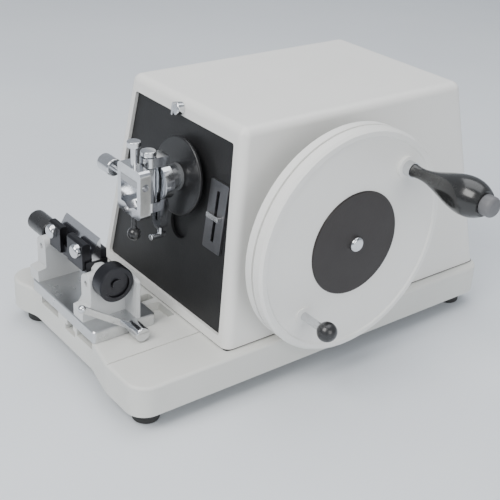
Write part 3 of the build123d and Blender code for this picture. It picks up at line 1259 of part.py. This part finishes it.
NODES = {
    "bed_casting": bed_casting,
    "machine_feet": machine_feet,
    "foot_pads": foot_pads,
    "hood": hood,
    "hood_seal": hood_seal,
    "front_panel": front_panel,
    "thickness_scale": thickness_scale,
    "thickness_pointer": thickness_pointer,
    "hood_latch": hood_latch,
    "guide_columns": guide_columns,
    "guide_bridge": guide_bridge,
    "mechanism_frame": mechanism_frame,
    "bearing_housing": bearing_housing,
    "shaft_bushes": shaft_bushes,
    "frame_bolts": frame_bolts,
    "lock_catch": lock_catch,
    "handwheel": handwheel,
    "wheel_cover_disc": wheel_cover_disc,
    "hub_screw": hub_screw,
    "main_shaft": main_shaft,
    "crank_disc": crank_disc,
    "crank_pin": crank_pin,
    "crank_roller": crank_roller,
    "handle_spindle": handle_spindle,
    "crank_grip": crank_grip,
    "grip_end_cap": grip_end_cap,
    "lock_pin": lock_pin,
    "lock_knob": lock_knob,
    "vertical_slide": vertical_slide,
    "slide_bushes": slide_bushes,
    "slot_blind": slot_blind,
    "ram_shield": ram_shield,
    "feed_ram": feed_ram,
    "feed_nut": feed_nut,
    "feed_spindle": feed_spindle,
    "ratchet_wheel": ratchet_wheel,
    "coarse_crank": coarse_crank,
    "coarse_knob": coarse_knob,
    "pawl_arm": pawl_arm,
    "feed_pawl": feed_pawl,
    "head_ring": head_ring,
    "cross_bar": cross_bar,
    "swing_knob": swing_knob,
    "clamp_frame": clamp_frame,
    "clamp_jaw": clamp_jaw,
    "clamp_screw": clamp_screw,
    "lower_knob": lower_knob,
    "side_screw": side_screw,
    "knife_base_plate": knife_base_plate,
    "clamp_shoe": clamp_shoe,
    "right_support": right_support,
    "left_support": left_support,
    "knife_cradle": knife_cradle,
    "tilt_drum": tilt_drum,
    "knife_blade": knife_blade,
    "left_jaw_nut": lambda: jaw_nut(nut_places()[0]),
    "right_jaw_nut": lambda: jaw_nut(nut_places()[1]),
    "tilt_knob": tilt_knob,
    "clamp_lever": clamp_lever,
}


def build():
    os.makedirs("parts", exist_ok=True)
    for name, make in NODES.items():
        made = make()
        shape = Compound(children=made) if isinstance(made, list) else made
        export_step(shape, f"parts/{name}.step")


build()
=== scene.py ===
import bpy
import bmesh
import json
import math
from mathutils import Matrix, Vector

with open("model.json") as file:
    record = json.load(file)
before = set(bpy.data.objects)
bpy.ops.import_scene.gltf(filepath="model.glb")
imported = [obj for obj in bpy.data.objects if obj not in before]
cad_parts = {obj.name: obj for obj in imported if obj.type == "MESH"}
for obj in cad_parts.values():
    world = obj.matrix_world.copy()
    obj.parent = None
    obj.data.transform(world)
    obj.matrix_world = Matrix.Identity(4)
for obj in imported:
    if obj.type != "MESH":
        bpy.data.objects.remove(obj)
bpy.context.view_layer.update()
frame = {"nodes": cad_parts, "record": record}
nodes = frame["nodes"]


# The photograph's camera, in degrees, pixels and metres
PICTURE = 500.0
FOCAL_PIXELS = 992.87
SENSOR_MM = 36.0
AZIMUTH = 51.25
ELEVATION = 27.5
ROLL = 3.28
LOOK_AT = (-0.01537, -0.04188, 0.10590)
DISTANCE = 0.98597

# Stage and lights: places in metres, powers in watts
FLOOR_HALF = 9.0
LIT_POINT = (0.0, 0.0, 0.1)
LIGHTS = {
    "key": ((0.15, -1.5, 1.7), 42, 1.3, (1.0, 0.985, 0.96)),
    "top": ((-0.2, 0.4, 2.0), 26, 1.8, (0.97, 0.985, 1.0)),
    "right": ((1.9, -0.2, 0.9), 14, 1.2, (1.0, 0.99, 0.97)),
}
SKY_COLOR = (0.80, 0.85, 0.92, 1)
SKY_STRENGTH = 0.55


class Net:
    """A node tree with short calls for the nodes that the materials here share."""

    def __init__(self, name):
        self.mat = bpy.data.materials.new(name)
        self.mat.use_nodes = True
        self.tree = self.mat.node_tree
        self.tree.nodes.clear()
        self.out = self.tree.nodes.new("ShaderNodeOutputMaterial")
        self.bsdf = self.tree.nodes.new("ShaderNodeBsdfPrincipled")
        self.link(self.bsdf.outputs["BSDF"], self.out.inputs["Surface"])
        self.coord = self.tree.nodes.new("ShaderNodeTexCoord").outputs["Object"]

    def link(self, a, b):
        self.tree.links.new(a, b)

    def value(self, socket, v):
        if isinstance(v, bpy.types.NodeSocket):
            self.link(v, socket)
        else:
            socket.default_value = v

    def noise(self, scale, detail=3.0, rough=0.5, coord=None, stretch=None):
        n = self.tree.nodes.new("ShaderNodeTexNoise")
        n.inputs["Scale"].default_value = scale
        n.inputs["Detail"].default_value = detail
        n.inputs["Roughness"].default_value = rough
        src = coord or self.coord
        if stretch:
            m = self.tree.nodes.new("ShaderNodeMapping")
            m.inputs["Scale"].default_value = stretch
            self.link(src, m.inputs["Vector"])
            src = m.outputs["Vector"]
        self.link(src, n.inputs["Vector"])
        return n.outputs["Fac"]

    def ramp(self, fac, stops):
        n = self.tree.nodes.new("ShaderNodeValToRGB")
        e = n.color_ramp.elements
        while len(e) < len(stops):
            e.new(0.5)
        for el, (p, c) in zip(e, stops):
            el.position = p
            el.color = (c, c, c, 1) if isinstance(c, (int, float)) else (*c, 1)
        self.link(fac, n.inputs["Fac"])
        return n.outputs["Color"]

    def math(self, op, a, b=0.0):
        n = self.tree.nodes.new("ShaderNodeMath")
        n.operation = op
        self.value(n.inputs[0], a)
        self.value(n.inputs[1], b)
        return n.outputs[0]

    def mix(self, fac, a, b, mode="MIX"):
        n = self.tree.nodes.new("ShaderNodeMix")
        n.data_type = "RGBA"
        n.blend_type = mode
        self.value(n.inputs["Factor"], fac)
        for sock, v in ((n.inputs[6], a), (n.inputs[7], b)):
            self.value(sock, (*v, 1) if isinstance(v, tuple) else v)
        return n.outputs[2]

    def bump(self, height, strength, distance, normal=None):
        n = self.tree.nodes.new("ShaderNodeBump")
        n.inputs["Strength"].default_value = strength
        n.inputs["Distance"].default_value = distance
        self.link(height, n.inputs["Height"])
        if normal:
            self.link(normal, n.inputs["Normal"])
        return n.outputs["Normal"]

    def set(self, **kw):
        names = {
            "color": "Base Color",
            "metal": "Metallic",
            "rough": "Roughness",
            "normal": "Normal",
            "coat": "Coat Weight",
            "coat_rough": "Coat Roughness",
        }
        for k, v in kw.items():
            self.value(self.bsdf.inputs[names[k]], (*v, 1) if isinstance(v, tuple) else v)
        return self.mat


def paint(name, color, rough=0.42, peel=0.06, dirt=0.05, coat=0.15):
    n = Net(name)
    cloud = n.ramp(n.noise(9, 4, 0.55), [(0.3, 0.0), (0.7, 1.0)])
    dark = tuple(c * (1 - dirt) for c in color)
    base = n.mix(cloud, color, dark)
    specks = n.ramp(n.noise(900, 2, 0.5), [(0.70, 0.0), (0.78, 1.0)])
    base = n.mix(n.math("MULTIPLY", specks, 0.12), base, tuple(c * 0.72 for c in color))
    r = n.ramp(n.noise(26, 5, 0.6), [(0.25, rough - 0.05), (0.75, rough + 0.07)])
    skin = n.bump(n.noise(420, 2, 0.45), peel, 0.0006)
    return n.set(color=base, metal=0.0, rough=r, normal=skin, coat=coat, coat_rough=0.25)


def metal(name, color, rough=0.25, grain=(1, 1, 1), line=0.05, spots=0.0):
    n = Net(name)
    streak = n.noise(260, 3, 0.6, stretch=grain)
    tone = n.ramp(streak, [(0.2, tuple(c * 0.86 for c in color)), (0.8, color)])
    cloud = n.ramp(n.noise(40, 4, 0.6), [(0.35, 0.0), (0.75, 1.0)])
    tone = n.mix(n.math("MULTIPLY", cloud, 0.25 + spots), tone, tuple(c * 0.62 for c in color))
    r = n.ramp(n.noise(60, 5, 0.6), [(0.2, max(rough - 0.07, 0.03)), (0.8, rough + 0.10)])
    return n.set(color=tone, metal=1.0, rough=r, normal=n.bump(streak, line, 0.0003))


def plastic(name, color, rough=0.3, grain=0.05, coat=0.0):
    n = Net(name)
    cloud = n.ramp(n.noise(30, 4, 0.6), [(0.3, 0.0), (0.8, 1.0)])
    base = n.mix(cloud, color, tuple(min(c * 1.7 + 0.006, 1) for c in color))
    r = n.ramp(n.noise(90, 5, 0.65), [(0.3, rough - 0.06), (0.75, rough + 0.12)])
    skin = n.bump(n.noise(1500, 2, 0.5), grain, 0.0003)
    return n.set(color=base, rough=r, normal=skin, coat=coat, coat_rough=0.12)


MATS = {
    "bed_paint": paint("bed_paint", (0.70, 0.70, 0.67), rough=0.48, peel=0.10, dirt=0.07),
    "hood_paint": paint("hood_paint", (0.80, 0.795, 0.77), rough=0.42, peel=0.06, dirt=0.035),
    "wheel_paint": paint("wheel_paint", (0.84, 0.835, 0.81), rough=0.40, peel=0.05, dirt=0.03),
    "panel_black": paint("panel_black", (0.012, 0.012, 0.013), rough=0.50, peel=0.16, dirt=0.25, coat=0.0),
    "cover_black": paint("cover_black", (0.020, 0.015, 0.014), rough=0.46, peel=0.12, dirt=0.25, coat=0.1),
    "shield_black": paint("shield_black", (0.010, 0.010, 0.011), rough=0.36, peel=0.08, dirt=0.2, coat=0.2),
    "scale_grey": metal("scale_grey", (0.23, 0.23, 0.24), rough=0.42, grain=(1, 14, 1), line=0.06),
    "pointer_bright": metal("pointer_bright", (0.75, 0.75, 0.75), rough=0.25),
    "chrome": metal("chrome", (0.78, 0.79, 0.81), rough=0.13, line=0.02, spots=0.1),
    "steel": metal("steel", (0.52, 0.52, 0.53), rough=0.33, grain=(1, 1, 6), line=0.07, spots=0.15),
    "ground_steel": metal("ground_steel", (0.66, 0.66, 0.67), rough=0.20, grain=(8, 1, 1), line=0.04),
    "black_steel": metal("black_steel", (0.060, 0.060, 0.066), rough=0.34, grain=(6, 1, 1), line=0.05),
    "holder_plate": metal("holder_plate", (0.70, 0.71, 0.72), rough=0.30, grain=(7, 1, 1), line=0.05),
    "support_paint": paint("support_paint", (0.62, 0.63, 0.63), rough=0.38, peel=0.07, dirt=0.08),
    "cast_iron": paint("cast_iron", (0.16, 0.165, 0.17), rough=0.55, peel=0.35, dirt=0.3, coat=0.0),
    "bronze": metal("bronze", (0.52, 0.34, 0.15), rough=0.35),
    "rubber_foot": plastic("rubber_foot", (0.03, 0.03, 0.03), rough=0.75, grain=0.25),
    "rubber_seal": plastic("rubber_seal", (0.02, 0.02, 0.02), rough=0.72, grain=0.2),
    "grip_black": plastic("grip_black", (0.010, 0.010, 0.010), rough=0.22, grain=0.02, coat=0.4),
    "knob_black": plastic("knob_black", (0.012, 0.012, 0.013), rough=0.26, grain=0.03, coat=0.3),
    "cap_grey": plastic("cap_grey", (0.10, 0.10, 0.105), rough=0.40, grain=0.06),
    "blade_steel": metal("blade_steel", (0.80, 0.80, 0.82), rough=0.16, grain=(1, 12, 1), line=0.03),
}


def dress_nodes():
    slot_of = {s["node"]: s["material_slot"] for s in frame["record"]["subparts"]}
    for name, obj in nodes.items():
        obj.data.materials.clear()
        obj.data.materials.append(MATS[slot_of[name]])
        for p in obj.data.polygons:
            p.material_index = 0


def stage():
    mesh = bpy.data.meshes.new("floor")
    bm = bmesh.new()
    corners = ((-1, -1), (1, -1), (1, 1), (-1, 1))
    bm.faces.new([bm.verts.new((x * FLOOR_HALF, y * FLOOR_HALF, 0)) for x, y in corners])
    bm.to_mesh(mesh)
    bm.free()
    floor = bpy.data.objects.new("floor", mesh)
    bpy.context.scene.collection.objects.link(floor)
    n = Net("floor_paper")
    tone = n.ramp(n.noise(3, 3, 0.5), [(0.3, (0.70, 0.73, 0.77)), (0.7, (0.74, 0.77, 0.80))])
    grain = n.bump(n.noise(300, 3, 0.5), 0.02, 0.0005)
    floor.data.materials.append(n.set(color=tone, rough=0.7, normal=grain))


def light(name, place, power, size, color):
    data = bpy.data.lights.new(name, "AREA")
    data.energy = power
    data.color = color
    data.size = size
    lamp = bpy.data.objects.new(name, data)
    lamp.location = place
    aim = Vector(LIT_POINT) - Vector(place)
    lamp.rotation_euler = aim.to_track_quat("-Z", "Y").to_euler()
    bpy.context.scene.collection.objects.link(lamp)


def lights():
    for name, (place, power, size, color) in LIGHTS.items():
        light(name, place, power, size, color)
    world = bpy.data.worlds.new("studio")
    world.use_nodes = True
    background = world.node_tree.nodes["Background"]
    background.inputs["Color"].default_value = SKY_COLOR
    background.inputs["Strength"].default_value = SKY_STRENGTH
    bpy.context.scene.world = world


def camera():
    az, el, roll = (math.radians(angle) for angle in (AZIMUTH, ELEVATION, ROLL))
    back = Vector((math.sin(az) * math.cos(el), -math.cos(az) * math.cos(el), math.sin(el)))
    right = Vector((math.cos(az), math.sin(az), 0))
    up = back.cross(right)
    c, s = math.cos(roll), math.sin(roll)
    r2, u2 = c * right + s * up, -s * right + c * up
    cam = bpy.data.objects.new("camera", bpy.data.cameras.new("camera"))
    cam.data.sensor_width = SENSOR_MM
    cam.data.lens = FOCAL_PIXELS * SENSOR_MM / PICTURE
    cam.data.clip_start = 0.01
    m = Matrix.Identity(4)
    for i, axis in enumerate((r2, u2, back)):
        for j in range(3):
            m[j][i] = axis[j]
    m.translation = Vector(LOOK_AT) + back * DISTANCE
    cam.matrix_world = m
    bpy.context.scene.collection.objects.link(cam)
    bpy.context.scene.camera = cam


dress_nodes()
stage()
lights()
camera()
